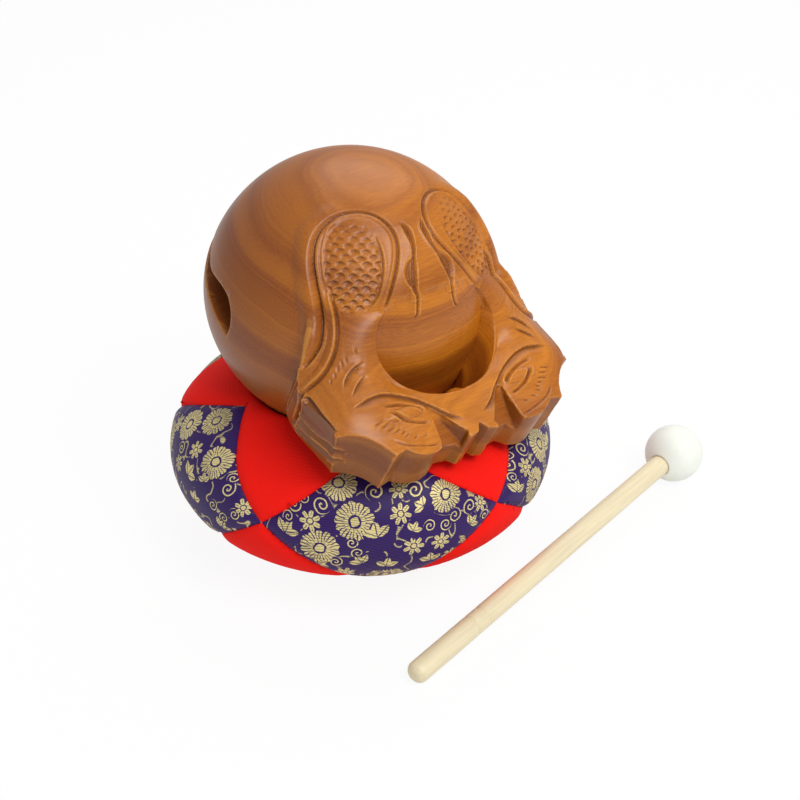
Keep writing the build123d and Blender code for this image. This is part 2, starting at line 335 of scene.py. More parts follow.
# Shingled edges: the wood on the right of each line is cut down and slopes back up
STEPS = [
    ([(-46.6, -56.8, 27), (-43.9, -53.2, 28.1), (-40.1, -51.1, 30.2), (-35.2, -50.3, 32.1)], 2.2, 0.9, 4),
    ([(-45.5, -61.5, 27.6), (-44.2, -59.8, 28), (-40.5, -56.9, 29), (-36.4, -54.8, 30.2)], 2.2, 0.9, 4),
    ([(-47.1, -65.5, 26.6), (-42.8, -64.7, 27.5), (-37, -63.9, 27.9), (-30.8, -65, 28.1), (-25, -67.5, 27.2),
      (-19.7, -70.9, 26.4), (-14.1, -75.6, 25.3), (-10, -79.4, 24.5), (-4.8, -82.3, 23.9)], 3.2, 1.1, 5),
    ([(-56.7, -48.6, 8.2), (-56.3, -53.3, 7.1), (-55.8, -59, 8), (-55.6, -64.5, 10.1), (-55.9, -71.2, 14.3),
      (-51.3, -74.9, 13.1)], 4.5, 2.0, 3),
    ([(-54.7, -48.4, -1), (-54.7, -54.3, 0.2), (-54.6, -61.3, 3), (-54.7, -69.4, 7), (-53.2, -73.7, 8.3),
      (-50.3, -75.6, 7.4)], 4.5, 2.0, 3),
    ([(-53.5, -46.6, -6.3), (-54.1, -52.1, -3.9)], 2.5, 1.2, 2),
    ([(-58.3, -50, 18.2), (-56.6, -51.8, 19.8), (-56.5, -60.1, 21.1), (-55.8, -70.3, 22.4)], 6.0, 1.4, 3),
]
LASHES = [
    ((-43, -74.9, 25.8), (-37.9, -73.7, 26.3)), ((-40.8, -76.6, 25.8), (-36, -75.4, 26.2)),
    ((-39.7, -78.7, 25.6), (-34.5, -77.5, 26)), ((-36.9, -80.1, 25.5), (-33, -78.9, 25.8)),
    ((-35, -81.7, 25.3), (-31.5, -80.3, 25.6)), ((-34, -83, 25), (-30.4, -81.5, 25.4)),
    ((-30.9, -84.9, 24.8), (-27.5, -83.2, 25.2)), ((-26.3, -85.2, 24.6), (-23.2, -84, 25))]
CURLS = [
    (-48.8, -51.3, 25.9), (-46.7, -50, 27.2), (-44.9, -48.6, 28.4), (-42.8, -47.4, 29.8), (-41, -46.9, 30.9),
    (-36.9, -46.2, 33.3)]
CURL_REACH = np.array((0.3, 1.2, 0.6))


def flowing(points, step=0.4):
    """Points of a smooth curve through the given ones."""
    marks = np.array(points, dtype=float)
    marks = np.vstack([2 * marks[0] - marks[1], marks, 2 * marks[-1] - marks[-2]])
    out = []
    for a, b, c, d in zip(marks, marks[1:], marks[2:], marks[3:]):
        count = max(2, int(np.linalg.norm(c - b) / step))
        t = np.linspace(0, 1, count, endpoint=False)[:, None]
        out.append(0.5 * (2 * b + (c - a) * t + (2 * a - 5 * b + 4 * c - d) * t ** 2
                          + (3 * b - a - 3 * c + d) * t ** 3))
    out.append(marks[-2][None])
    return np.vstack(out)


class Carver:
    """The drum's vertices in its own frame, both sides folded to the left, and what is cut from them."""

    batch = 4000
    skin = 4.5
    far = 99.0

    def __init__(self, places, ways):
        self.places = places.copy()
        self.ways = ways.copy()
        right = self.places[:, 0] > 0
        self.places[right, 0] *= -1
        self.ways[right, 0] *= -1
        self.rise = np.zeros(len(places))
        self.painted_shade = np.zeros(len(places))

    def near(self, points, reach, fade=1.0, power=0.7):
        """Vertices within reach of a curve: their index, their distance across the surface, positive on the
        curve's right as seen from outside, the share of the curve run so far, and a fade at its ends."""
        line = flowing(points)
        low, high = line.min(axis=0) - reach - 3, line.max(axis=0) + reach + 3
        which = np.nonzero(((self.places > low) & (self.places < high)).all(axis=1))[0]
        run = np.concatenate([[0], np.cumsum(np.linalg.norm(np.diff(line, axis=0), axis=1))])
        heading = np.gradient(line, axis=0)
        apart = np.empty(len(which))
        along = np.empty(len(which))
        for begin in range(0, len(which), self.batch):
            part = which[begin:begin + self.batch]
            gap = line[None] - self.places[part][:, None]
            off = np.einsum("ijk,ik->ij", gap, self.ways[part])
            flat = np.sqrt(np.maximum((gap ** 2).sum(axis=2) - off ** 2, 0))
            flat[np.abs(off) > self.skin] = self.far
            best = flat.argmin(axis=1)
            row = np.arange(len(part))
            right = np.cross(heading[best], self.ways[part])
            side = np.where((gap[row, best] * right).sum(axis=1) < 0, 1.0, -1.0)
            apart[begin:begin + self.batch] = flat[row, best] * side
            along[begin:begin + self.batch] = run[best]
        close = np.abs(apart) < reach
        along = along[close] / run[-1]
        ends = share(np.minimum(along, 1 - along) * run[-1] / fade) ** power
        return which[close], apart[close], along, ends

    # Painted shade: each vertex keeps the darkest share asked of it
    def paint_shade(self, which, painted_shade):
        self.painted_shade[which] = np.maximum(self.painted_shade[which], painted_shade)

    def groove(self, points, width, depth, fade):
        """V-shaped groove with low lips and fading ends; a list of widths is spread evenly along it."""
        widths = np.atleast_1d(width)
        which, apart, along, ends = self.near(points, widths.max() + 1.4, fade)
        wide = np.interp(along, np.linspace(0, 1, len(widths)), widths)
        cut = depth * ends * (wide / widths.max()) ** 0.6 * share(1 - np.abs(apart) / wide) ** 1.2
        lip = 0.18 * depth * ends * hump(np.abs(apart) - wide, 0.4, 0.5)
        self.rise[which] = np.where(cut > 0, np.minimum(self.rise[which], -cut), self.rise[which] + lip)

    def step(self, points, width, depth, fade):
        """Shingled edge: a rounded lip along the line, a sharp drop on its right and a slope back up, with
        painted shade along the drop.
        """
        which, apart, _, ends = self.near(points, max(width, 3.2), fade)
        sink = depth * share(1 - apart / width) * share((apart + 0.3) / 0.6)
        lip = 0.3 * depth * hump(np.minimum(apart, 0), -0.5, 1.1) * (apart < 0.3)
        self.rise[which] += ends * (lip - sink)
        self.paint_shade(which, 0.75 * ends * hump(apart, 0.3, 0.5))

    def roll(self, points, width, height, fade):
        """Rounded roll that rises from its right and drops sharply on its left; a painted shade line lies along
        its foot.
        """
        which, apart, _, ends = self.near(points, width + 2, fade)
        body = np.where(apart > 0, share(1 - (apart / width) ** 2), share(1 + apart / 0.8))
        line = hump(apart, -1.2, 0.6)
        self.rise[which] += height * ends * (body - 0.5 * line)
        self.paint_shade(which, 0.7 * ends * line)

    def ridge(self, points, width, height, fade):
        which, apart, _, ends = self.near(points, width, fade, power=1.0)
        self.rise[which] += height * ends * share(1 - (apart / width) ** 2) ** 1.5

    def border(self, points):
        """Edge of an oval: a bevel falls from outside to a sharp line, and a thin rim stands inside it."""
        which, apart, along, ends = self.near(points, 3.4, 4)
        stops = (0, 0.35, 0.52, 0.66, 1)
        bevel = np.interp(along, stops, (1.0, 1.0, 1.7, 2.7, 2.7))
        depth = np.interp(along, stops, (1.1, 1.1, 1.3, 1.9, 1.9)) * ends
        wall = share(1 + apart / 0.8)
        fall = share(1 - apart / bevel) ** 1.15
        rim = 0.5 * ends * hump(apart, -1.6, 0.7)
        self.rise[which] += rim - depth * np.where(apart > 0, fall, wall)

    def bulge(self, upper, lower, height):
        """Almond between two lines that share their ends' neighbourhood, swelling to its middle."""
        top, low = flowing(upper), flowing(lower)
        middle = (top.mean(axis=0) + low.mean(axis=0)) / 2
        across = top.mean(axis=0) - low.mean(axis=0)
        along = (top[-1] + low[-1] - top[0] - low[0]) / 2
        half_long, half_wide = np.linalg.norm(along) / 2, np.linalg.norm(across) / 2
        gap = self.places - middle
        u = gap @ along / np.linalg.norm(along) / half_long
        v = gap @ across / np.linalg.norm(across) / half_wide
        inside = (np.abs(u) < 1) & (np.linalg.norm(gap, axis=1) < 2 * half_long)
        swell = share(1 - u ** 2 - (v * 1.1) ** 2) ** 0.6
        self.rise[inside] += height * swell[inside]

    def scales(self, outline, depth):
        """Rows of small notches inside the closed outline of an oval pad, each with a painted shadow under its
        top edge.
        """
        ring = np.array(outline)
        middle = ring.mean(axis=0)
        out = middle / np.linalg.norm(middle)
        along = ring[len(ring) // 2] - middle
        along -= out * (along @ out)
        along /= np.linalg.norm(along)
        axes = np.stack([along, np.cross(out, along)], axis=1)
        flat = (ring - middle) @ axes
        close = np.linalg.norm(self.places - middle, axis=1) < 34
        which = np.nonzero(close & (self.ways @ out > 0.4))[0]
        spot = (self.places[which] - middle) @ axes
        inside = np.zeros(len(which), dtype=bool)
        edge = np.full(len(which), self.far)
        for a, b in zip(flat, np.roll(flat, -1, axis=0)):
            crosses = (a[1] > spot[:, 1]) != (b[1] > spot[:, 1])
            level = (b[0] - a[0]) * (spot[:, 1] - a[1]) / (b[1] - a[1] + 1e-12) + a[0]
            inside ^= crosses & (spot[:, 0] < level)
            t = share(((spot - a) @ (b - a)) / ((b - a) @ (b - a)))
            edge = np.minimum(edge, np.linalg.norm(spot - a - t[:, None] * (b - a), axis=1))
        row_step, column_step = 4.8, 5.0
        deep = np.zeros(len(which))
        dark = np.zeros(len(which))
        # Two staggered sets of rows; each notch is shifted a little by a chance fixed by its row and column
        for half in (0.0, 0.5):
            row = np.floor(spot[:, 0] / row_step + half)
            y = spot[:, 0] - (row - half + 0.5) * row_step
            column = np.floor(spot[:, 1] / column_step + half)
            x = spot[:, 1] - (column - half + 0.5) * column_step
            chance = np.sin(row * 12.9898 + column * 78.233 + half * 7.4) * 43758.5453
            chance -= np.floor(chance)
            x = x + 1.1 * (chance - 0.5)
            y = y + 0.8 * (np.mod(chance * 7.3, 1) - 0.5)
            top = 1.1 - 0.25 * x ** 2
            fall = (top - y) / (2.2 + 0.6 * chance)
            chip = share(1 - fall) * share(fall * 9) * share(1 - (x / 1.9) ** 2)
            deep = np.maximum(deep, chip * (0.65 + 0.35 * chance))
            # Painted shadow: darker just under each notch's top edge
            dark = np.maximum(dark, chip * share(1.5 - 2.2 * fall))
        fade = share((edge - 0.4) / 1.0) * inside * np.clip(0.8 - spot[:, 0] / 28, 0.3, 1)
        self.rise[which] -= depth * fade * deep
        self.painted_shade[which] = 0.95 * np.sqrt(fade) * dark


def lean_right(places, ways):
    """Places and directions with the right side turned outwards: its oval lies nearer the middle."""
    fade = share((places[:, 1] + 42) / 22)
    angle = np.where(places[:, 0] > 4, math.radians(3.2) * fade * fade * (3 - 2 * fade), 0.0)
    c, s = np.cos(angle), np.sin(angle)
    return [
        np.stack([rows[:, 0] * c + rows[:, 2] * s, rows[:, 1], rows[:, 2] * c - rows[:, 0] * s], axis=1)
        for rows in (places, ways)]


def drum_normals(mesh, places):
    """Directions of the drum's surface after its vertices take these places."""
    set_positions(mesh, from_drum(places))
    return normals(mesh) @ DRUM_TURN


def smooth_blank(places, pairs):
    """Draw the bulb to its true surface, fill the solid's gouges, and smooth the necks' roots and the
    hole's rim; gives the places and how far they first stood off the bulb."""
    distance, way = bulb_distance(places)
    on_bulb = np.abs(distance) < 0.35
    recess = (-3.6 * places[:, 1] - 2.6 * places[:, 2]) / BULB_RADIUS
    blank = Carver(places, way)
    for line in (OVAL_GROOVE, WAVY_GOUGE):
        which = blank.near(line, 2.6)[0]
        on_bulb[which] |= (recess[which] < 0.4) & (np.abs(distance[which] + 0.6) < 1.0)
    places[on_bulb] -= way[on_bulb] * distance[on_bulb, None]
    forward = (places[:, 1] < -20) & (np.abs(distance) > 0.5) & (distance > -6)
    places = relax(places, pairs, 1, np.where(forward, 0.4, 0.0))
    root = (np.abs(distance) < 3) & (places[:, 2] > 14) & (places[:, 1] < -14) & (np.abs(places[:, 0]) > 24)
    rim = (np.abs(places[:, 0]) < 31) & (places[:, 1] > -79) & (distance > 2) & (places[:, 2] > 6)
    return relax(places, pairs, 26, np.where(root, 0.5, np.where(rim, 0.22, 0.0))), distance


def slope_hole(places, ways, distance, pairs):
    """Slope the finger hole's side walls inwards and round its lip."""
    aside = np.abs(places[:, 0])
    round_hole = np.hypot(places[:, 0] / 29, (places[:, 1] + 51) / 20)
    deep = np.clip(33 + 0.25 * (places[:, 1] + 51) - places[:, 2], 0, 22)
    wall = share(1 - np.abs(round_hole - 1) / 0.05) * share((aside - 12) / 8)
    wall *= (ways[:, 0] * np.sign(places[:, 0]) < -0.25) & (places[:, 1] > -70)
    places[:, 0] -= np.sign(places[:, 0]) * 0.45 * deep * wall
    lip = share((1.35 - round_hole) / 0.35) ** 2 * share(ways[:, 2] / 0.5) * (round_hole > 0.97)
    lip *= share((np.abs(places[:, 0]) - 8) / 14) * share((places[:, 1] + 70) / 10)
    places[:, 2] -= 3.0 * lip * share((distance - 1) / 8)
    edge = share(1 - np.abs(round_hole - 1.04) / 0.12) * (distance > 1) * (places[:, 2] > 8)
    return relax(places, pairs, 14, 0.5 * edge)


def cut_lines(places, ways, depth):
    """Cut the ovals, heads, fins and collars; gives the carver with its rise and its painted shade."""
    carver = Carver(places, ways)
    ovals = Carver(*lean_right(places, ways))
    ovals.rise = carver.rise
    ovals.painted_shade = carver.painted_shade
    carver.ridge(OVAL_RIDGE, 6.0, 2.0, 20)
    ovals.roll(NECK_RIDGE, 2.8, 1.3, 5)
    carver.bulge(EYE_UPPER, EYE_LOWER, 1.3)
    for points, width, cut, fade in GROOVES:
        carver.groove(points, width, cut * depth, fade)
    for points, width, cut, fade in STEPS:
        carver.step(points, width, cut * depth, fade)
    for points in LASHES:
        carver.groove(points, 0.65, 0.55 * depth, 1.5)
    ovals.border(OVAL_GROOVE)
    ovals.ridge(PAD_EDGE[9:15], 0.9, 0.45, 4)
    ovals.step(PAD_EDGE[6::-1], 2.4, 0.8 * depth, 4)
    for place in CURLS:
        middle = np.array(place)
        carver.groove([middle + CURL_REACH, middle - CURL_REACH], 0.6, 0.45 * depth, 1.0)
    ovals.scales(PAD_EDGE, 1.25 * depth)
    return carver


def carve_drum(mesh, depth):
    """Carve the drum's blank; gives the tone, painted shade above zero and a painted edge highlight with wear
    below zero, and the relief.
    """
    pairs = edge_pairs(mesh)
    places, distance = smooth_blank(to_drum(positions(mesh)), pairs)
    places = slope_hole(places, drum_normals(mesh, places), distance, pairs)
    ways = drum_normals(mesh, places)
    carver = cut_lines(places, ways, depth)
    places = places + ways * carver.rise[:, None]
    ways = drum_normals(mesh, places)
    even = np.ones(len(places))
    bend = ((places - relax(places, pairs, 1, even)) * ways).sum(axis=1)
    bend = relax(bend[:, None], pairs, 2, 0.5 * even)[:, 0]
    # Painted shade: deeper cuts and concave creases take the groove colour
    painted_shade = np.maximum(0.8 * share((-carver.rise - 0.1) / 1.5), carver.painted_shade)
    painted_shade = np.maximum(painted_shade, 0.8 * share((-bend - 0.022) / 0.06))
    # Painted highlight: convex edges are paler, which also stands for rubbed wear
    highlight_and_wear = share((bend - 0.016) / 0.06)
    distance, _ = bulb_distance(places)
    # Painted shade: steep facets off the bulb are darkened, also standing for darker end grain
    steep_facet_shade = 0.4 * share((0.5 - ways[:, 2]) / 0.3) * share((distance - 6) / 6)
    tone = np.where(painted_shade > 0.15, np.maximum(painted_shade, steep_facet_shade), np.where(highlight_and_wear > 0.15, -highlight_and_wear, steep_facet_shade))
    return tone, np.maximum(np.abs(carver.rise), np.abs(bend))


def carved_wood(settings):
    """Oiled camphor wood: uneven growth rings, streaky fibres and an oil polish; painted shade sits in the
    grooves and towards the lower left, and a painted highlight with wear on the edges.
    """
    material, tree, shader = new_material("oiled_camphor_wood")
    # The pith lies far below the block, so the rings run almost straight across the bulb
    top = np.array((-4.0, 14.0, 60.0))
    pith_depth = 420.0
    out = top / np.linalg.norm(top)
    grain = np.cross(out, (0.0, 1.0, 0.0))
    grain /= np.linalg.norm(grain)
    axes = DRUM_TURN @ np.stack([grain, np.cross(out, grain), out], axis=1)
    pith = from_drum((top - out * pith_depth)[None])[0]
    place = add(tree, "ShaderNodeTexCoord").outputs["Object"]
    block = add(tree, "ShaderNodeMapping", {
        "Vector": place, "Location": pith * MM, "Rotation": Matrix(axes.tolist()).to_euler("XYZ"),
        "Scale": (MM, MM, MM)}, vector_type="TEXTURE").outputs[0]
    sway = add(tree, "ShaderNodeTexNoise", {"Vector": block, "Scale": 1 / 28, "Detail": 2.0})
    across = add(tree, "ShaderNodeVectorMath", {0: block, 1: (0.0, 1.0, 1.0)}, operation="MULTIPLY")
    from_pith = add(tree, "ShaderNodeVectorMath", {0: across.outputs[0]}, operation="LENGTH")
    ring = add(tree, "ShaderNodeMath", {0: sway.outputs["Fac"], 1: 4.0, 2: from_pith.outputs["Value"]},
               operation="MULTIPLY_ADD").outputs[0]
    fine, broad = [
        add(tree, "ShaderNodeTexNoise", {"W": ring, "Scale": 1 / width, "Detail": 2.0}, noise_dimensions="1D")
        for width in (1.0, 11.0)]
    along = add(tree, "ShaderNodeMapping", {"Vector": block, "Scale": (1 / 13, 1 / 0.6, 1 / 0.6)})
    fibre = add(tree, "ShaderNodeTexNoise", {
        "Vector": along.outputs[0], "Scale": 1.0, "Detail": 3.0, "Roughness": 0.6})
    tone = 0.13
    for texture, weight in ((fine, 0.15), (broad, 0.36), (fibre, 0.24)):
        tone = add(tree, "ShaderNodeMath", {0: texture.outputs["Fac"], 1: weight, 2: tone},
                   operation="MULTIPLY_ADD").outputs[0]
    wood = colours(tree, tone, (0.32, settings.wood_dark), (0.64, settings.wood_light))
    # Painted shade towards the lower left, a painted highlight with wear on edges where the attribute is below
    # zero, painted shade where it is above
    shaded = add(tree, "ShaderNodeVectorMath", {0: place, 1: DRUM_TURN @ np.array((-0.8, 0.5, -0.33))},
                 operation="DOT_PRODUCT")
    # Painted shade: this factor darkens the wood towards the lower left of the block
    heart = add(tree, "ShaderNodeMapRange", {
        "Value": shaded.outputs["Value"], "From Min": -0.03, "From Max": 0.05, "To Max": 0.6}).outputs[0]
    # The carved attribute holds painted shade above zero and a painted highlight with wear below zero
    cut = add(tree, "ShaderNodeAttribute", attribute_name="carved").outputs["Fac"]
    highlight_and_wear = add(tree, "ShaderNodeMath", {0: cut, 1: -0.42}, operation="MULTIPLY", use_clamp=True).outputs[0]
    for factor, tint in (
            (heart, settings.flank_shade_colour), (highlight_and_wear, settings.edge_highlight_and_wear_colour), (cut, settings.groove_shade_colour)):
        wood = add(tree, "ShaderNodeMix", {"Factor": factor, "A": wood, "B": tinted(tint)},
                   data_type="RGBA", clamp_factor=True).outputs["Result"]
    gloss = add(tree, "ShaderNodeMapRange", {"Value": fibre.outputs["Fac"], "To Min": 0.28, "To Max": 0.45})
    pores = add(tree, "ShaderNodeBump", {"Height": fibre.outputs["Fac"], "Strength": 0.1, "Distance": 0.2 * MM})
    plug(tree, shader, {
        "Base Color": wood, "Roughness": gloss.outputs[0], "Normal": pores.outputs[0],
        "Specular IOR Level": 0.34, "Coat Weight": 0.1, "Coat Roughness": 0.25})
    return material


class MOKUGYO_OT_drum(bpy.types.Operator):
    """Carve the drum from its blank and finish it in oiled wood"""

    bl_idname = "mokugyo.drum"
    bl_label = "Carved drum"

    def execute(self, context):
        settings = context.scene.mokugyo_drum
        voxel = 0.45
        most_vertices = 95000
        plain_relief = 0.02
        form = bmesh.new()
        form.from_mesh(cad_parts["bell_body"].data)
        bmesh.ops.remove_doubles(form, verts=form.verts, dist=0.002 * MM)
        blank = bpy.data.meshes.new("drum_blank")
        form.to_mesh(blank)
        form.free()
        holder = bpy.data.objects.new("drum_blank", blank)
        context.scene.collection.objects.link(holder)
        remesh = holder.modifiers.new("even", "REMESH")
        remesh.mode = "VOXEL"
        remesh.voxel_size = voxel * MM
        mesh = evaluated(holder)
        painted_shade, relief = carve_drum(mesh, settings.groove_depth)
        keep_attribute(mesh, "carved", painted_shade)
        holder.modifiers.clear()
        holder.data = mesh
        plain = holder.vertex_groups.new(name="plain")
        plain.add(np.nonzero(relief < plain_relief)[0].tolist(), 1.0, "REPLACE")
        plain.add(np.nonzero(relief >= plain_relief)[0].tolist(), 0.04, "REPLACE")
        thin = holder.modifiers.new("thin", "DECIMATE")
        thin.vertex_group = "plain"
        thin.ratio = min(1.0, most_vertices / len(mesh.vertices))
        mesh = evaluated(holder)
        bpy.data.objects.remove(holder)
        place_piece("carved_drum", mesh, carved_wood(settings), "bell", "carved_wood", "bell_body")
        return {"FINISHED"}


def lift(radius):
    """Height of the cushion's surface over its widest line."""
    on_cap = math.sqrt(CAP_RADIUS ** 2 - radius ** 2) - CAP_CENTRE
    on_rim = radius >= CAP_RADIUS * math.sin(CAP_LEAN)
    return math.sqrt(CUSHION_RIM ** 2 - (radius - CUSHION_INSET) ** 2) if on_rim else on_cap


def on_cushion(radius, side, index):
    """Point of the cushion above or below its widest line, its turn counted in panels."""
    angle = math.radians(turn_of(index))
    height = CUSHION_MIDDLE + side * lift(radius)
    return np.array((radius * math.sin(angle), -radius * math.cos(angle), height))


def turn_of(index):
    return SEAM_TURN + 360 / PANEL_COUNT * index


def meeting(index):
    """Point of the rim where four panels meet."""
    return on_cushion(MEETING_RADIUS, 1, index)


def tip(side, index):
    """Upper or lower tip of a brocade panel."""
    return on_cushion(TIP_RADIUS[side], side, index)


def seam_plane(side, start, end):
    """A seam's plane as a point and a normal; the panel lies on the normal's side."""
    origin = SEAM_ORIGIN[side]
    across = np.cross(start - origin, end - origin)
    return origin, across / np.linalg.norm(across)


def wedge(first, last):
    """Two upright planes through the axis that bound a panel sideways."""
    planes = []
    for index, side in ((first, 1), (last, -1)):
        angle = math.radians(turn_of(index))
        planes.append((np.zeros(3), side * np.array((math.cos(angle), math.sin(angle), 0.0))))
    return planes


def brocade_planes(index):
    """Seams and sides of a brocade panel, a diamond round the rim."""
    left, right = meeting(index), meeting(index + 1)
    top, foot = tip(1, index + 0.5), tip(-1, index + 0.5)
    seams = [
        seam_plane(-1, left, foot), seam_plane(-1, foot, right),
        seam_plane(1, right, top), seam_plane(1, top, left)]
    return seams, wedge(index, index + 1)


def red_planes(side, index):
    """Seams and sides of an upper or lower red panel, a kite towards the cushion's pole."""
    corner = meeting(index)
    seams = [
        seam_plane(side, tip(side, index - 0.5 * side), corner),
        seam_plane(side, corner, tip(side, index + 0.5 * side))]
    return seams, wedge(index - 0.5, index + 0.5)


def seam_distance(places):
    """Distance of each place to the nearest seam between panels."""
    nearest = np.full(len(places), 99.0)
    for index in range(PANEL_COUNT):
        for half in (-0.5, 0.5):
            between = np.ones(len(places), dtype=bool)
            for point, way in wedge(*sorted((index, index + half))):
                between &= (places - point) @ way > -1e-6
            for side in (1, -1):
                point, way = seam_plane(side, meeting(index), tip(side, index + half))
                gap = np.abs((places - point) @ way)
                nearest = np.where(between, np.minimum(nearest, gap), nearest)
    return nearest


def clear_of_drum(places, gap):
    """Push cloth out of the drum's bulb."""
    local = to_drum(places)
    for _ in range(2):
        distance, way = bulb_distance(local)
        inside = distance < gap
        local[inside] += way[inside] * (gap - distance[inside])[:, None]
    return from_drum(local)


def cushion_places(ways):
    """Cushion surface along directions from its middle."""
    on_cap = np.linspace(0, CAP_LEAN, 80)
    on_rim = np.linspace(CAP_LEAN, math.pi / 2, 80)
    r = np.concatenate([CAP_RADIUS * np.sin(on_cap), CUSHION_INSET + CUSHION_RIM * np.sin(on_rim)])
    z = np.concatenate([CAP_RADIUS * np.cos(on_cap) - CAP_CENTRE, CUSHION_RIM * np.cos(on_rim)])
    angle = np.arctan2(z, r)[::-1]
    far = np.hypot(r, z)[::-1]
    slope = np.arctan2(np.abs(ways[:, 2]), np.hypot(ways[:, 0], ways[:, 1]))
    return ways * np.interp(slope, angle, far)[:, None] + (0, 0, CUSHION_MIDDLE)


def plump_cushion(context):
    """The stuffed cushion under the drum: a ball drawn to its shape and blown up between its seams."""
    form = bmesh.new()
    bmesh.ops.create_icosphere(form, subdivisions=6, radius=1.0)
    mesh = bpy.data.meshes.new("cushion_form")
    form.to_mesh(mesh)
    form.free()
    ways = positions(mesh) * MM
    places = cushion_places(ways / np.linalg.norm(ways, axis=1)[:, None])
    pairs = edge_pairs(mesh)
    places = clear_of_drum(places, DRUM_GAP)
    distance, _ = bulb_distance(to_drum(places))
    soft = share(1 - np.abs(distance - 2) / 9)
    for _ in range(8):
        places = clear_of_drum(relax(places, pairs, 2, 0.5 * soft), DRUM_GAP)
    places[:, 2] = np.maximum(places[:, 2], FLOOR_GAP)
    set_positions(mesh, places)
    before = places.copy()
    holder = bpy.data.objects.new("cushion_form", mesh)
    context.scene.collection.objects.link(holder)
    held = hump(seam_distance(places), 0, 3.0)
    distance, _ = bulb_distance(to_drum(places))
    held = np.maximum(held, share(1 - (distance - 0.6) / 8))
    held = np.maximum(held, places[:, 2] < 1.0)
    pins = holder.vertex_groups.new(name="pins")
    for index, weight in enumerate(held):
        pins.add([index], float(weight), "REPLACE")
    frames = 20
    cloth = holder.modifiers.new("cloth", "CLOTH")
    cloth.settings.vertex_group_mass = "pins"
    cloth.settings.quality = 4
    cloth.settings.tension_stiffness = 15
    cloth.settings.compression_stiffness = 15
    cloth.settings.bending_stiffness = 0.5
    cloth.settings.use_pressure = True
    cloth.settings.uniform_pressure_force = 4
    cloth.settings.effector_weights.gravity = 0
    cloth.collision_settings.use_collision = False
    cloth.point_cache.frame_start = 1
    cloth.point_cache.frame_end = frames
    for step in range(1, frames + 1):
        context.scene.frame_set(step)
    blown = evaluated(holder)
    context.scene.frame_set(1)
    move = positions(blown) - before
    length = np.linalg.norm(move, axis=1)
    cap = 2.2
    move *= (cap * np.tanh(length / cap) / np.maximum(length, 1e-6))[:, None]
    places = clear_of_drum(before + move, DRUM_GAP)
    places[:, 2] = np.maximum(places[:, 2], FLOOR_GAP)
    bpy.data.objects.remove(holder)
    bpy.data.meshes.remove(blown)
    set_positions(mesh, places)
    return mesh


def cut_panel(planes):
    """One panel of the cushion's surface, cut along its seams."""
    form = bmesh.new()
    form.from_mesh(bpy.data.meshes["cushion_form"])
    bmesh.ops.subdivide_edges(form, edges=form.edges, cuts=1, use_grid_fill=True, smooth=1.0)
    for point, way in planes:
        bmesh.ops.bisect_plane(
            form, geom=form.verts[:] + form.edges[:] + form.faces[:], dist=0.01 * MM,
            plane_co=Vector(point * MM), plane_no=Vector(way), clear_inner=True)
    mesh = bpy.data.meshes.new("panel")
    form.to_mesh(mesh)
    form.free()
    return mesh


def sew_panel(mesh, seams, settings):
    """Draw the panel's edges in at its seams, with small puckers beside the stitching."""
    places = positions(mesh)
    ways = normals(mesh)
    apart = np.full(len(places), 99.0)
    for point, way in seams:
        apart = np.minimum(apart, np.abs((places - point) @ way))
    depth = settings.seam_depth / MM
    turn = np.arctan2(places[:, 0], -places[:, 1])
    pucker = 0.1 * np.sin(turn * 95 + places[:, 2] * 0.9) * np.exp(-apart / 5) * share(apart / 3)
    sink = depth * np.exp(-(apart / 2.0) ** 1.4) - pucker
    distance, _ = bulb_distance(to_drum(places))
    sink *= share((distance - DRUM_GAP) / 4)
    places = clear_of_drum(places - ways * sink[:, None], DRUM_GAP)
    places[:, 2] = np.maximum(places[:, 2], FLOOR_GAP)
    set_positions(mesh, places)


def back_with_wadding(mesh, thickness):
    """Give a panel its quilted thickness inwards, as a closed shell."""
    holder = bpy.data.objects.new("panel", mesh)
    bpy.context.scene.collection.objects.link(holder)
    wall = holder.modifiers.new("wadding", "SOLIDIFY")
    wall.thickness = thickness
    wall.offset = -1
    shell = evaluated(holder)
    bpy.data.objects.remove(holder)
    bpy.data.meshes.remove(mesh)
    return shell


def red_cloth(settings):
    """Vermilion cotton satin: an even fine weave with a soft sheen along the folds."""
    material, tree, shader = new_material("vermilion_cotton_satin")
    place = add(tree, "ShaderNodeTexCoord").outputs["Object"]
    weave = add(tree, "ShaderNodeTexWave", {
        "Vector": place, "Scale": THREAD_SCALE, "Distortion": 1.0, "Detail": 1.0, "Detail Scale": 2.0},
        wave_type="BANDS", bands_direction="Z")
    blotch = add(tree, "ShaderNodeTexNoise", {"Vector": place, "Scale": 1 / (14 * MM), "Detail": 3.0})
    shade = add(tree, "ShaderNodeMix", {
        "Factor": blotch.outputs["Fac"], "A": tinted(settings.red), "B": tinted(settings.red, 0.92)},
        data_type="RGBA")
    thread = add(tree, "ShaderNodeBump", {
        "Height": weave.outputs["Fac"], "Strength": 0.25, "Distance": 0.15 * MM})
    plug(tree, shader, {
        "Base Color": shade.outputs["Result"], "Normal": thread.outputs[0], "Roughness": 0.8,
        "Specular IOR Level": 0.15})
    return material


def leaf_sums(name, turn):
    """Sums of one pointed leaf with a parting along it, turned off the sprig's middle."""
    lean, straight = math.sin(turn), math.cos(turn)
    return [
        ("run", "MULTIPLY", "x", straight), ("run", "MULTIPLY_ADD", "fold", lean, "run"),
        ("run", "MAXIMUM", "run", 0.0), ("run", "MINIMUM", "run", 1.0),
        ("off", "MULTIPLY", "x", -lean), ("off", "MULTIPLY_ADD", "fold", straight, "off"),
        ("off", "ABSOLUTE", "off"),
        ("blade", "MULTIPLY", "run", math.pi), ("blade", "SINE", "blade"), ("blade", "MULTIPLY", "blade", 0.25),
        ("blade", "SUBTRACT", "blade", "off"), ("rib", "SUBTRACT", "off", 0.03),
        (name, "MINIMUM", "blade", "rib")]


# Threads are drawn 0.7 mm apart, coarser than real ones, so that they show
THREAD_SCALE = 0.314 / (0.7 * MM)
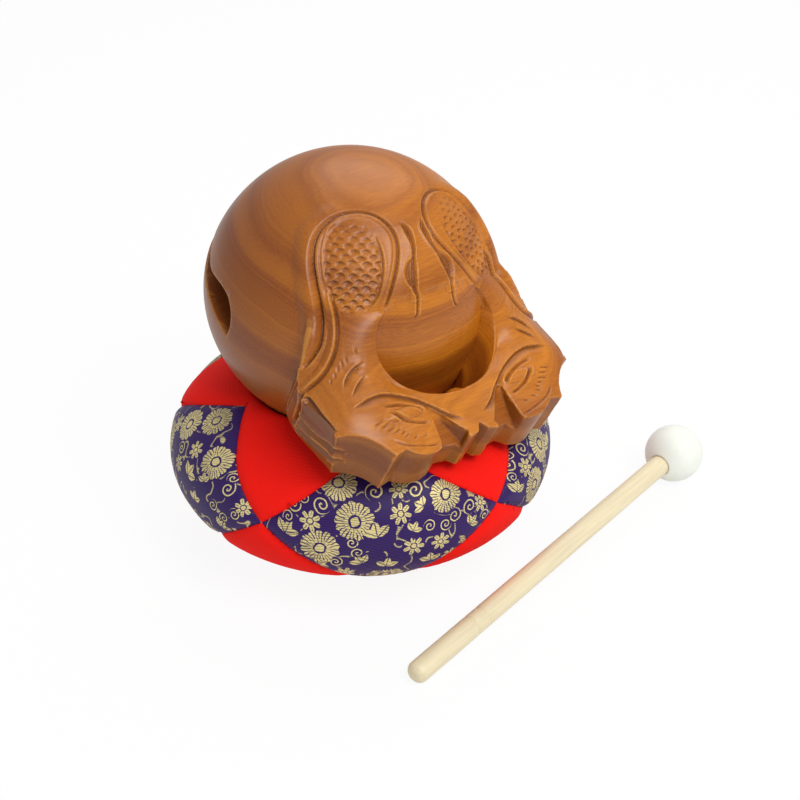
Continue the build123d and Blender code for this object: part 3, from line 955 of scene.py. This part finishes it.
# The brocade's motifs as sums: name of the result, operation and terms, from x, y, kind, far and vine
MOTIF_SUMS = [
    ("around", "ARCTAN2", "y", "x"), ("turns", "MULTIPLY", "around", 1 / (2 * math.pi)),
    # Round flowers: fourteen petals on the large ones, seven on the small ones, and a centre
    ("small", "GREATER_THAN", "kind", 1.5), ("petals", "MULTIPLY_ADD", "small", -7.0, 14.0),
    ("part", "MULTIPLY", "turns", "petals"), ("part", "FRACT", "part"),
    ("part", "SUBTRACT", "part", 0.5), ("part", "ABSOLUTE", "part"),
    ("room", "MULTIPLY", "far", 2 * math.pi), ("room", "DIVIDE", "room", "petals"),
    ("aside", "MULTIPLY", "part", "room"), ("wide", "MULTIPLY", "room", 0.43),
    ("over", "SUBTRACT", "far", 0.8), ("over", "MAXIMUM", "over", 0.0), ("over", "MULTIPLY", "over", "over"),
    ("tip", "SUBTRACT", 0.04, "over"), ("tip", "MAXIMUM", "tip", 0.0), ("tip", "SQRT", "tip"),
    ("wide", "MINIMUM", "wide", "tip"), ("petal", "SUBTRACT", "wide", "aside"),
    ("root", "SUBTRACT", "far", 0.34), ("petal", "MINIMUM", "petal", "root"),
    ("rib", "SUBTRACT", "aside", 0.022), ("inner", "SUBTRACT", 0.52, "far"), ("rib", "MAXIMUM", "rib", "inner"),
    ("petal", "MINIMUM", "petal", "rib"), ("heart", "SUBTRACT", 0.24, "far"),
    ("flower", "MAXIMUM", "petal", "heart"),
    # Sprigs of three leaves
    ("fold", "ABSOLUTE", "y"), *leaf_sums("middle_leaf", 0.0), *leaf_sums("side_leaf", 0.95),
    ("leaf", "MAXIMUM", "middle_leaf", "side_leaf"),
    # Scrolls: one thin line wound in twice
    ("coil", "MULTIPLY", "far", 1.7), ("coil", "SUBTRACT", "coil", "turns"), ("coil", "FRACT", "coil"),
    ("coil", "SUBTRACT", "coil", 0.5), ("coil", "ABSOLUTE", "coil"), ("coil", "SUBTRACT", 0.15, "coil"),
    ("end", "SUBTRACT", 1.0, "far"), ("coil", "MINIMUM", "coil", "end"),
    ("past_blooms", "GREATER_THAN", "kind", 2.5), ("past_leaves", "GREATER_THAN", "kind", 3.5),
    # Tendrils wander between the motifs
    ("vine", "SUBTRACT", "vine", 0.5), ("vine", "ABSOLUTE", "vine"), ("vine", "SUBTRACT", 0.011, "vine"),
    ("clear", "SUBTRACT", "far", 1.12), ("vine", "MINIMUM", "vine", "clear"),
]


def gilt_brocade(settings):
    """Silk brocade: a deep purple satin ground with flowers in gilt weft that glints along its threads."""
    material, tree, shader = new_material("purple_gilt_brocade")
    place = add(tree, "ShaderNodeTexCoord").outputs["Object"]
    spot = add(tree, "ShaderNodeAttribute", attribute_name="motif")
    jitter = add(tree, "ShaderNodeTexNoise", {"Vector": place, "Scale": 1 / (2.2 * MM), "Detail": 2.0})
    jitter = add(tree, "ShaderNodeVectorMath", {
        0: jitter.outputs["Color"], 1: (0.2, 0.2, 0.0), 2: (-0.1, -0.1, 0.0)}, operation="MULTIPLY_ADD")
    spot = add(tree, "ShaderNodeVectorMath", {0: spot.outputs["Vector"], 1: jitter.outputs[0]}, operation="ADD")
    x, y, kind = add(tree, "ShaderNodeSeparateXYZ", {0: spot.outputs[0]}).outputs
    flat = add(tree, "ShaderNodeVectorMath", {0: spot.outputs[0], 1: (1.0, 1.0, 0.0)}, operation="MULTIPLY")
    far = add(tree, "ShaderNodeVectorMath", {0: flat.outputs[0]}, operation="LENGTH").outputs["Value"]
    vine = add(tree, "ShaderNodeTexNoise", {"Vector": place, "Scale": 1 / (11 * MM), "Detail": 1.0})
    made = {"x": x, "y": y, "kind": kind, "far": far, "vine": vine.outputs["Fac"]}
    for name, operation, *terms in MOTIF_SUMS:
        terms = dict(enumerate(made.get(term, term) for term in terms))
        made[name] = add(tree, "ShaderNodeMath", terms, operation=operation).outputs[0]
    motif = made["flower"]
    for past, other in (("past_blooms", "leaf"), ("past_leaves", "coil")):
        motif = add(tree, "ShaderNodeMix", {
            "Factor": made[past], "A": motif, "B": made[other]}).outputs["Result"]
    motif = add(tree, "ShaderNodeMath", {0: motif, 1: made["vine"]}, operation="MAXIMUM").outputs[0]
    gilt = add(tree, "ShaderNodeMapRange", {"Value": motif, "From Min": -0.008, "From Max": 0.012}).outputs[0]
    thread = add(tree, "ShaderNodeTexWave", {
        "Vector": place, "Scale": THREAD_SCALE, "Distortion": 2.0, "Detail": 2.0, "Detail Scale": 2.0},
        wave_type="BANDS", bands_direction="DIAGONAL").outputs["Fac"]
    glint = add(tree, "ShaderNodeTexNoise", {"Vector": place, "Scale": 1 / (16 * MM), "Detail": 2.0})
    glint = add(tree, "ShaderNodeMapRange", {"Value": glint.outputs["Fac"], "From Min": 0.35, "From Max": 0.6})
    glint = add(tree, "ShaderNodeMath", {0: glint.outputs[0], 1: 0.6, 2: thread}, operation="MULTIPLY_ADD")
    bright = colours(tree, glint.outputs[0], (0.0, [0.3 * c for c in settings.gold]), (1.0, settings.gold))
    ground = add(tree, "ShaderNodeMix", {
        "Factor": thread, "A": tinted(settings.purple, 0.6), "B": tinted(settings.purple)}, data_type="RGBA")
    cloth = add(tree, "ShaderNodeMix", {
        "Factor": gilt, "A": ground.outputs["Result"], "B": bright}, data_type="RGBA")
    metal = add(tree, "ShaderNodeMath", {0: gilt, 1: 0.3}, operation="MULTIPLY")
    height = add(tree, "ShaderNodeMath", {0: thread, 1: 0.35, 2: gilt}, operation="MULTIPLY_ADD")
    raised = add(tree, "ShaderNodeBump", {"Height": height.outputs[0], "Strength": 0.5, "Distance": 0.15 * MM})
    plug(tree, shader, {
        "Base Color": cloth.outputs["Result"], "Metallic": metal.outputs[0], "Normal": raised.outputs[0],
        "Roughness": 0.5, "Specular IOR Level": 0.25})
    return material


KINDS = {"mum": 1.0, "bloom": 2.0, "leaf": 3.0, "scroll": 4.0}
# Brocade flowers: kind, place along the rim and up the panel from its widest line, size, turn in degrees
FRONT_FLOWERS = [
    ("mum", -26.1, 0.7, 7.9, 0), ("mum", -17, 28.3, 7.8, 10), ("mum", -11.8, 12.5, 8.0, 5),
    ("mum", 25.5, 18.4, 7.1, 0), ("bloom", -29.5, 11.7, 4.4, 0), ("bloom", 6.3, 14.5, 4.4, 12),
    ("bloom", 6.5, 24.3, 4.0, 0), ("bloom", 11, 0.2, 4.4, 20), ("bloom", 22.3, -0.3, 4.0, 0),
    ("leaf", -3.2, 6.2, 6.6, 100), ("leaf", -40.3, 5.4, 6.3, 60), ("leaf", -9.6, -6.5, 5.5, 120),
    ("leaf", 0, -9.5, 5.6, 80), ("leaf", 35.6, 3.2, 4.6, 40), ("leaf", 33.8, -3, 4.0, 200),
    ("leaf", 18.1, -10.4, 5.6, 90), ("leaf", 15.8, 16, 4.6, 150), ("scroll", -36.1, 17.1, 3.4, 0),
    ("scroll", -38.6, 12.1, 2.6, 140), ("scroll", -31.8, 20.2, 2.6, 60), ("scroll", -24.2, 18.5, 3.6, 200),
    ("scroll", 12.8, 22.9, 3.9, 90), ("scroll", 28.7, 9.3, 3.0, 0), ("scroll", 35.9, 10.7, 3.2, 180),
    ("scroll", 17.7, 7.7, 2.6, 60), ("scroll", 24.6, 6.8, 2.6, 240), ("scroll", -13.4, 3.9, 2.8, 30),
    ("scroll", -11.2, -0.8, 2.8, 210), ("scroll", 43.2, 4.3, 2.6, 90), ("scroll", -3, 24.1, 3.9, 120),
    ("leaf", 10.7, 7, 4.2, 60), ("bloom", 41.4, 10.3, 3.6, 0), ("bloom", -3, 32, 3.8, 0),
    ("mum", 0, -18, 7.5, 0), ("bloom", -16, -14, 4.2, 0), ("bloom", 27, -10, 4.0, 0),
    ("leaf", -27, -9, 5, 40), ("scroll", -20, -6, 3, 0), ("scroll", 12, -20, 3, 90),
    ("scroll", -10, -22, 3, 200), ("bloom", 2, -29, 4, 0)]
LEFT_FLOWERS = [
    ("mum", -12.5, 21.9, 7.2, 0), ("mum", -1.2, 32.8, 7.4, 8), ("mum", 18, 20.8, 7.7, 0),
    ("bloom", 3.7, 18.6, 4.1, 0), ("bloom", 42, 9.8, 4.0, 0), ("bloom", -4.6, 7.2, 3.8, 0),
    ("leaf", 6.1, 7.7, 6.6, 70), ("leaf", 18.1, 11, 4.4, 120), ("leaf", 13.8, -0.1, 5, 90),
    ("leaf", 31.4, -4.2, 5.3, 60), ("scroll", 31.5, 14.2, 3.6, 0), ("scroll", 30.4, 19, 2.6, 120),
    ("scroll", 38.9, 5.5, 2.8, 40), ("scroll", 33.6, 1.5, 2.8, 200), ("scroll", -6.6, 13.2, 3.0, 90),
    ("scroll", 26.7, 4.5, 2.6, 0), ("mum", -26, 6, 7.6, 0), ("bloom", -22, 16, 4.0, 0), ("leaf", -36, 8, 5, 30),
    ("scroll", -14, 2, 3, 0), ("bloom", -12, -8, 4.2, 0), ("mum", 4, -14, 7.4, 0), ("leaf", 20, -12, 5, 80),
    ("scroll", -24, -6, 3, 150), ("scroll", 12, -24, 3, 0), ("bloom", -6, -26, 4, 0)]


def lay_flowers(mesh, places, index):
    """Give each face the coordinates of its nearest brocade motif: across, up and kind."""
    radius = np.hypot(places[:, 0], places[:, 1])
    rise = places[:, 2] - CUSHION_MIDDLE
    turn = np.degrees(np.arctan2(places[:, 0], -places[:, 1])) - turn_of(index + 0.5)
    along = np.radians((turn + 180) % 360 - 180) * radius
    on_rim = CUSHION_RIM * np.arctan2(np.abs(rise), radius - CUSHION_INSET)
    to_cap = CUSHION_RIM * (math.pi / 2 - CAP_LEAN)
    on_cap = to_cap + CAP_RADIUS * (CAP_LEAN - np.arcsin(np.minimum(radius / CAP_RADIUS, 1)))
    up = np.sign(rise) * np.where(radius >= CAP_RADIUS * math.sin(CAP_LEAN), on_rim, on_cap)
    flat = np.stack([along, up], axis=1)
    corners = np.empty(len(mesh.loops), dtype=np.int64)
    mesh.loops.foreach_get("vertex_index", corners)
    count = np.empty(len(mesh.polygons), dtype=np.int64)
    mesh.polygons.foreach_get("loop_total", count)
    owner = np.repeat(np.arange(len(count)), count)
    middle = np.stack([np.bincount(owner, flat[corners, axis]) for axis in (0, 1)], axis=1) / count[:, None]
    best = np.full(len(count), 1.3)
    motif = np.full((len(corners), 3), (9.0, 9.0, 1.0))
    for kind, u, v, size, angle in LEFT_FLOWERS if index in (1, 3) else FRONT_FLOWERS:
        far = np.hypot(middle[:, 0] - u, middle[:, 1] - v) / size
        closer = far < best
        best[closer] = far[closer]
        mine = closer[owner]
        c, s = math.cos(math.radians(angle)) / size, math.sin(math.radians(angle)) / size
        x, y = flat[corners[mine], 0] - u, flat[corners[mine], 1] - v
        motif[mine] = np.stack([x * c + y * s, y * c - x * s, np.full(len(x), KINDS[kind])], axis=1)
    attribute = mesh.attributes.new("motif", "FLOAT_VECTOR", "CORNER")
    attribute.data.foreach_set("vector", motif.astype(np.float32).ravel())


class MOKUGYO_OT_filling(bpy.types.Operator):
    """Blow up the cushion between its seams and fill it with cotton wadding"""

    bl_idname = "mokugyo.filling"
    bl_label = "Cushion filling"

    def execute(self, context):
        form = plump_cushion(context)
        mesh = form.copy()
        places = positions(mesh) - normals(mesh) * 3.6
        places = clear_of_drum(places, 4.0)
        places[:, 2] = np.clip(places[:, 2], 3.4, None)
        set_positions(mesh, places)
        # Cotton wadding: off-white, matt and faintly lumpy
        material, tree, shader = new_material("cotton_wadding")
        place = add(tree, "ShaderNodeTexCoord").outputs["Object"]
        lumps = add(tree, "ShaderNodeTexNoise", {"Vector": place, "Scale": 1 / (6 * MM), "Detail": 4.0})
        tone = colours(tree, lumps.outputs["Fac"], (0.3, linear("#D8D0C0")), (0.7, linear("#EFEAE0")))
        plug(tree, shader, {"Base Color": tone, "Roughness": 0.95})
        piece = place_piece("cotton_filling", mesh, material, "cushion", "filling", "cushion_filling")
        return {"FINISHED"}


def make_panel(kind, index, planes, slot, material, settings):
    """Cut, sew and back one panel; a brocade one has its flowers laid first."""
    seams, sides = planes
    mesh = cut_panel(seams + sides)
    if kind == "brocade":
        lay_flowers(mesh, positions(mesh), index)
    sew_panel(mesh, seams, settings)
    shell = back_with_wadding(mesh, settings.cloth_thickness)
    node = f"{kind}_panel_{index + 1}"
    piece = place_piece(f"{kind}_cloth_{index + 1}", shell, material, "cushion", slot, node)


class MOKUGYO_OT_red_panels(bpy.types.Operator):
    """Cut and sew the ten plain red panels of the cushion"""

    bl_idname = "mokugyo.red_panels"
    bl_label = "Red panels"

    def execute(self, context):
        settings = context.scene.mokugyo_cushion
        material = red_cloth(settings)
        for kind, side in (("upper_red", 1), ("lower_red", -1)):
            for index in range(PANEL_COUNT):
                make_panel(kind, index, red_planes(side, index), "red_cloth", material, settings)
        return {"FINISHED"}


class MOKUGYO_OT_brocade_panels(bpy.types.Operator):
    """Cut and sew the five brocade panels and lay their gilt flowers"""

    bl_idname = "mokugyo.brocade_panels"
    bl_label = "Brocade panels"

    def execute(self, context):
        settings = context.scene.mokugyo_cushion
        material = gilt_brocade(settings)
        for index in range(PANEL_COUNT):
            make_panel("brocade", index, brocade_planes(index), "brocade", material, settings)
        bpy.data.meshes.remove(bpy.data.meshes["cushion_form"])
        return {"FINISHED"}


def mallet_place(settings):
    """Place of the mallet on the floor: the ball's centre, the stick along its X, metres."""
    ball = settings.ball_diameter
    slope = math.asin((ball - settings.stick_diameter) / 2 / (settings.stick_reach - STICK_END_ROUND * MM))
    return (
        Matrix.Translation((BALL_PLACE[0] * MM, BALL_PLACE[1] * MM, ball / 2))
        @ Matrix.Rotation(math.radians(MALLET_TURN), 4, "Z") @ Matrix.Rotation(slope, 4, "Y"))


def spun(outline, steps, place):
    """Turned solid about X from an outline of distance and radius, millimetres."""
    form = bmesh.new()
    marks = [form.verts.new((x * MM, 0, r * MM)) for x, r in outline]
    edges = [form.edges.new(pair) for pair in zip(marks, marks[1:])]
    bmesh.ops.spin(
        form, geom=marks + edges, axis=(1, 0, 0), cent=(0, 0, 0), angle=2 * math.pi, steps=steps,
        use_merge=True)
    bmesh.ops.remove_doubles(form, verts=form.verts, dist=0.001 * MM)
    bmesh.ops.recalc_face_normals(form, faces=form.faces)
    bmesh.ops.transform(form, matrix=place, verts=form.verts)
    mesh = bpy.data.meshes.new("turned")
    form.to_mesh(mesh)
    form.free()
    return mesh


def mallet_coordinates(tree, settings):
    """Millimetres along and across the stick, from Object coordinates."""
    place = mallet_place(settings)
    return add(tree, "ShaderNodeMapping", {
        "Vector": add(tree, "ShaderNodeTexCoord").outputs["Object"], "Location": place.translation,
        "Rotation": place.to_euler("XYZ"), "Scale": (MM, MM, MM)}, vector_type="TEXTURE").outputs[0]


class MOKUGYO_OT_mallet_stick(bpy.types.Operator):
    """Turn the mallet's stick"""

    bl_idname = "mokugyo.mallet_stick"
    bl_label = "Mallet stick"

    def execute(self, context):
        settings = context.scene.mokugyo_mallet
        radius = settings.stick_diameter / 2 / MM
        reach = settings.stick_reach / MM
        seat = settings.ball_diameter / 2 / MM - SOCKET_DEPTH
        outline = [(seat, 0), (seat, radius - 0.3), (seat + 0.3, radius)]
        for step in range(1, 24):
            outline.append((seat + (reach - 50 - seat) * step / 24, radius))
        for ring in (reach - 43.0, reach - 36.0):
            outline += [(ring + along, radius - cut) for along, cut in RING]
        for step in range(1, 5):
            outline.append((reach - 35 + 30 * step / 4, radius))
        for step in range(9):
            angle = math.radians(90 - 90 * step / 8)
            outline.append((
                reach - STICK_END_ROUND + STICK_END_ROUND * math.cos(angle),
                radius - STICK_END_ROUND + STICK_END_ROUND * math.sin(angle)))
        outline.append((reach, 0))
        mesh = spun(outline, 64, mallet_place(settings))
        # Sanded beech: pale, short dark flecks along the grain, a thin satin varnish
        material, tree, shader = new_material("sanded_beech")
        block = mallet_coordinates(tree, settings)
        long = add(tree, "ShaderNodeMapping", {"Vector": block, "Scale": (0.03, 0.7, 0.7)})
        fibre = add(tree, "ShaderNodeTexNoise", {
            "Vector": long.outputs[0], "Scale": 1.0, "Detail": 4.0, "Roughness": 0.65}).outputs["Fac"]
        light = settings.stick_colour
        wood = colours(tree, fibre, (0.3, [0.86 * c for c in light]), (0.62, light))
        grain = add(tree, "ShaderNodeBump", {"Height": fibre, "Strength": 0.15, "Distance": 0.2 * MM})
        plug(tree, shader, {"Base Color": wood, "Normal": grain.outputs[0], "Roughness": 0.42})
        place_piece("turned_stick", mesh, material, "mallet", "stick_wood", "mallet_stick")
        return {"FINISHED"}


class MOKUGYO_OT_mallet_head(bpy.types.Operator):
    """Mould the mallet's rubber ball with the stick's socket"""

    bl_idname = "mokugyo.mallet_head"
    bl_label = "Mallet head"

    def execute(self, context):
        settings = context.scene.mokugyo_mallet
        ball = settings.ball_diameter / 2 / MM
        hole = settings.stick_diameter / 2 / MM + SOCKET_SLACK
        depth = ball - SOCKET_DEPTH - SOCKET_SLACK
        rim = math.sqrt(ball ** 2 - (hole + 0.5) ** 2)
        start = math.degrees(math.atan2(hole + 0.5, rim))
        outline = [(depth, 0), (depth, hole), (rim - 0.9, hole), (rim - 0.35, hole + 0.1)]
        for step in range(65):
            angle = math.radians(start + (180 - start) * step / 64)
            outline.append((ball * math.cos(angle), ball * math.sin(angle)))
        mesh = spun(outline, 96, mallet_place(settings))
        # Moulded rubber: dull, with a faint bloom and fine moulding grain
        material, tree, shader = new_material("moulded_rubber")
        block = mallet_coordinates(tree, settings)
        bloom = add(tree, "ShaderNodeTexNoise", {"Vector": block, "Scale": 0.15, "Detail": 4.0})
        grit = add(tree, "ShaderNodeTexNoise", {"Vector": block, "Scale": 1.6, "Detail": 2.0})
        rubber = settings.ball_colour
        tone = colours(tree, bloom.outputs["Fac"], (0.3, [0.95 * c for c in rubber]), (0.7, rubber))
        skin = add(tree, "ShaderNodeBump", {
            "Height": grit.outputs["Fac"], "Strength": 0.2, "Distance": 0.15 * MM})
        plug(tree, shader, {"Base Color": tone, "Normal": skin.outputs[0], "Roughness": 0.6})
        place_piece("rubber_ball", mesh, material, "mallet", "ball_rubber", "mallet_head")
        return {"FINISHED"}


class MOKUGYO_OT_stage(bpy.types.Operator):
    """Set the white floor, the soft lights and the camera"""

    bl_idname = "mokugyo.stage"
    bl_label = "Studio stage"

    def execute(self, context):
        settings = context.scene.mokugyo_stage
        scene = context.scene
        scene.view_settings.view_transform = "Standard"
        form = bmesh.new()
        bmesh.ops.create_grid(form, x_segments=1, y_segments=1, size=6.0)
        mesh = bpy.data.meshes.new("studio_floor")
        form.to_mesh(mesh)
        form.free()
        floor = bpy.data.objects.new("studio_floor", mesh)
        scene.collection.objects.link(floor)
        # White paper floor: lit softly, seen as plain white with the object's shadow on it
        material = bpy.data.materials.new("white_paper")
        material.use_nodes = True
        tree = material.node_tree
        tree.nodes.clear()
        paper = add(tree, "ShaderNodeBsdfDiffuse", {"Color": (*settings.floor_colour, 1.0)})
        white = add(tree, "ShaderNodeEmission", {"Color": (1, 1, 1, 1), "Strength": 1.0})
        path = add(tree, "ShaderNodeLightPath")
        seen = add(tree, "ShaderNodeMath", {0: path.outputs["Is Camera Ray"], 1: 0.92}, operation="MULTIPLY")
        mix = add(tree, "ShaderNodeMixShader", {0: seen.outputs[0], 1: paper.outputs[0], 2: white.outputs[0]})
        add(tree, "ShaderNodeOutputMaterial", {"Surface": mix.outputs[0]})
        mesh.materials.append(material)
        world = bpy.data.worlds.new("studio")
        world.use_nodes = True
        tree = world.node_tree
        tree.nodes.clear()
        path = add(tree, "ShaderNodeLightPath")
        seen = add(tree, "ShaderNodeMath", {
            0: path.outputs["Is Camera Ray"], 1: path.outputs["Is Transmission Ray"]}, operation="MAXIMUM")
        room = add(tree, "ShaderNodeBackground", {"Color": (1, 1, 1, 1), "Strength": 0.47})
        white = add(tree, "ShaderNodeBackground", {"Color": (1, 1, 1, 1), "Strength": 1.0})
        mix = add(tree, "ShaderNodeMixShader", {0: seen.outputs[0], 1: room.outputs[0], 2: white.outputs[0]})
        add(tree, "ShaderNodeOutputWorld", {"Surface": mix.outputs[0]})
        scene.world = world
        for name, spot, size, power in (
            ("overhead_softbox", (0.5, 0.5, 1.05), 0.9, 4.5),
            ("front_softbox", (0.05, -0.8, 1.1), 0.7, 11.0),
        ):
            lamp = bpy.data.lights.new(name, "AREA")
            lamp.size = size
            lamp.energy = power
            light = bpy.data.objects.new(name, lamp)
            light.location = spot
            light.rotation_euler = (Vector((0, 0, 0.08)) - Vector(spot)).to_track_quat("-Z", "Y").to_euler()
            scene.collection.objects.link(light)
        lens = bpy.data.cameras.new("camera")
        lens.sensor_width = 36.0
        lens.lens = settings.lens
        camera = bpy.data.objects.new("camera", lens)
        camera.location = (-0.3052, -0.4454, 0.3948)
        camera.rotation_euler = Euler((math.radians(90 - 32.0), 0, math.radians(-36.24)), "XYZ")
        camera.data.clip_start = 0.01
        scene.collection.objects.link(camera)
        scene.camera = camera
        return {"FINISHED"}


class MOKUGYO_PT_panel(bpy.types.Panel):
    """The pieces of the set, in the order they are made"""

    bl_label = "Mokugyo"
    bl_space_type = "VIEW_3D"
    bl_region_type = "UI"
    bl_category = "Mokugyo"

    def draw(self, context):
        for operator in OPERATORS:
            self.layout.operator(operator.bl_idname)


SETTINGS = {
    "mokugyo_drum": DrumSettings,
    "mokugyo_cushion": CushionSettings,
    "mokugyo_mallet": MalletSettings,
    "mokugyo_stage": StageSettings,
}
OPERATORS = (
    MOKUGYO_OT_drum,
    MOKUGYO_OT_filling,
    MOKUGYO_OT_red_panels,
    MOKUGYO_OT_brocade_panels,
    MOKUGYO_OT_mallet_stick,
    MOKUGYO_OT_mallet_head,
    MOKUGYO_OT_stage,
)


def register():
    for name, group in SETTINGS.items():
        bpy.utils.register_class(group)
        setattr(bpy.types.Scene, name, PointerProperty(type=group))
    for operator in OPERATORS:
        bpy.utils.register_class(operator)
    bpy.utils.register_class(MOKUGYO_PT_panel)


def unregister():
    bpy.utils.unregister_class(MOKUGYO_PT_panel)
    for operator in reversed(OPERATORS):
        bpy.utils.unregister_class(operator)
    for name, group in reversed(SETTINGS.items()):
        delattr(bpy.types.Scene, name)
        bpy.utils.unregister_class(group)


def main():
    register()
    bpy.ops.mokugyo.drum()
    bpy.ops.mokugyo.filling()
    bpy.ops.mokugyo.red_panels()
    bpy.ops.mokugyo.brocade_panels()
    bpy.ops.mokugyo.mallet_stick()
    bpy.ops.mokugyo.mallet_head()
    bpy.ops.mokugyo.stage()


if __name__ == "__main__":
    main()
